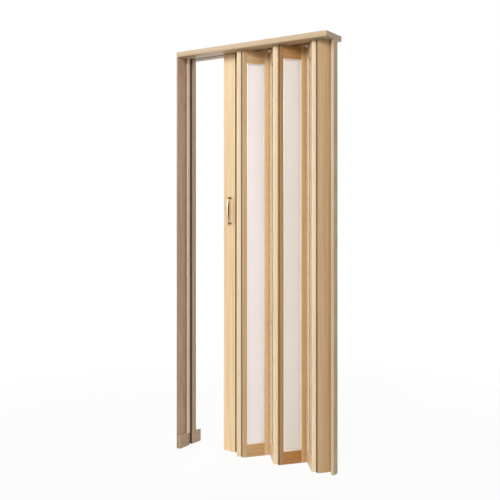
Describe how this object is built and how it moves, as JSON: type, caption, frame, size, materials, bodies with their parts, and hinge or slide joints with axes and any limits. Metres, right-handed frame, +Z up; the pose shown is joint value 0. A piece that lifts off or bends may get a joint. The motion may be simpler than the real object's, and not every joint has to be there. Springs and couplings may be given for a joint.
{
  "type": "accordion door",
  "caption": "Half-folded accordion door of narrow glazed timber panels, hung from a track in its own timber door frame, with a bow pull on each side.",
  "frame": {"origin": "on the floor under the middle of the door frame: middle of its width, and middle of its depth over the skirting", "axes": "+X from the strike jamb on the left to the wall post on the right, +Y from the front to the back, +Z up"},
  "size_m": [0.87, 0.18, 2.05],
  "materials": {
    "door_wood": "satin lacquered straight-grained light timber",
    "frame_wood": "satin lacquered light timber",
    "jamb_wood": "satin lacquered light timber",
    "frosted_glass": "frosted on one face",
    "gasket": "cream glazing channel",
    "track_aluminium": "mill finish",
    "nylon": "moulded nylon",
    "hinge_strip": "strip hinge coated in a timber colour",
    "old_brass": "polished antique brass"
  },
  "bodies": {
    "frame": {"left_jamb": "jamb_wood", "head_board": "frame_wood", "track": "track_aluminium", "front_stop": "frame_wood", "rear_stop": "jamb_wood", "wall_post": "frame_wood", "front_skirting": "jamb_wood", "rear_skirting": "jamb_wood", "hinge_1_pin_leaf": "hinge_strip"},
    "panel_1": {"panel_1_board": "door_wood", "hinge_1_bored_leaf": "hinge_strip", "hinge_2_pin_leaf": "hinge_strip"},
    "panel_2": {"panel_2_right_stile": "door_wood", "panel_2_left_stile": "door_wood", "panel_2_bottom_rail": "door_wood", "panel_2_top_rail": "door_wood", "panel_2_glass": "frosted_glass", "panel_2_gasket": "gasket", "panel_2_glider": "nylon", "hinge_2_bored_leaf": "hinge_strip", "hinge_3_pin_leaf": "hinge_strip"},
    "panel_3": {"panel_3_right_stile": "door_wood", "panel_3_left_stile": "door_wood", "panel_3_bottom_rail": "door_wood", "panel_3_top_rail": "door_wood", "panel_3_glass": "frosted_glass", "panel_3_gasket": "gasket", "panel_3_glider": "nylon", "hinge_3_bored_leaf": "hinge_strip", "hinge_4_pin_leaf": "hinge_strip"},
    "panel_4": {"panel_4_right_stile": "door_wood", "panel_4_left_stile": "door_wood", "panel_4_bottom_rail": "door_wood", "panel_4_top_rail": "door_wood", "panel_4_glass": "frosted_glass", "panel_4_gasket": "gasket", "panel_4_glider": "nylon", "hinge_4_bored_leaf": "hinge_strip", "hinge_5_pin_leaf": "hinge_strip"},
    "panel_5": {"panel_5_right_stile": "door_wood", "panel_5_left_stile": "door_wood", "panel_5_bottom_rail": "door_wood", "panel_5_top_rail": "door_wood", "panel_5_glass": "frosted_glass", "panel_5_gasket": "gasket", "panel_5_glider": "nylon", "hinge_5_bored_leaf": "hinge_strip", "hinge_6_pin_leaf": "hinge_strip"},
    "panel_6": {"panel_6_board": "door_wood", "hinge_6_bored_leaf": "hinge_strip", "hinge_7_pin_leaf": "hinge_strip"},
    "lead": {"hinge_7_bored_leaf": "hinge_strip", "lead_post": "door_wood", "lead_shoe": "nylon", "front_pull": "old_brass", "rear_pull": "old_brass"}
  },
  "joints": [
    {"name": "fold_1", "type": "hinge", "parent": "frame", "child": "panel_1", "pos_m": [0.40983, 0.002, 1.016], "axis": [0, 0, 1], "range_deg": [-44.9, 28.1]},
    {"name": "fold_2", "type": "hinge", "parent": "panel_1", "child": "panel_2", "pos_m": [0.35743, -0.05105, 1.016], "axis": [0, 0, 1], "range_deg": [-58.2, 91.8]},
    {"name": "fold_3", "type": "hinge", "parent": "panel_2", "child": "panel_3", "pos_m": [0.25263, 0.05505, 1.016], "axis": [0, 0, 1], "range_deg": [-91.8, 58.2]},
    {"name": "fold_4", "type": "hinge", "parent": "panel_3", "child": "panel_4", "pos_m": [0.14783, -0.05105, 1.016], "axis": [0, 0, 1], "range_deg": [-58.2, 91.8]},
    {"name": "fold_5", "type": "hinge", "parent": "panel_4", "child": "panel_5", "pos_m": [0.04303, 0.05505, 1.016], "axis": [0, 0, 1], "range_deg": [-91.8, 58.2]},
    {"name": "fold_6", "type": "hinge", "parent": "panel_5", "child": "panel_6", "pos_m": [-0.06177, -0.05105, 1.016], "axis": [0, 0, 1], "range_deg": [-58.2, 91.8]},
    {"name": "fold_7", "type": "hinge", "parent": "panel_6", "child": "lead", "pos_m": [-0.11417, 0.002, 1.016], "axis": [0, 0, 1], "range_deg": [-46.9, 30.1]}
  ],
  "couplings": [
    {"joint": "fold_2", "follows": "fold_1", "ratio": -2},
    {"joint": "fold_3", "follows": "fold_1", "ratio": 2},
    {"joint": "fold_4", "follows": "fold_1", "ratio": -2},
    {"joint": "fold_5", "follows": "fold_1", "ratio": 2},
    {"joint": "fold_6", "follows": "fold_1", "ratio": -2},
    {"joint": "fold_7", "follows": "fold_1", "ratio": 1}
  ]
}
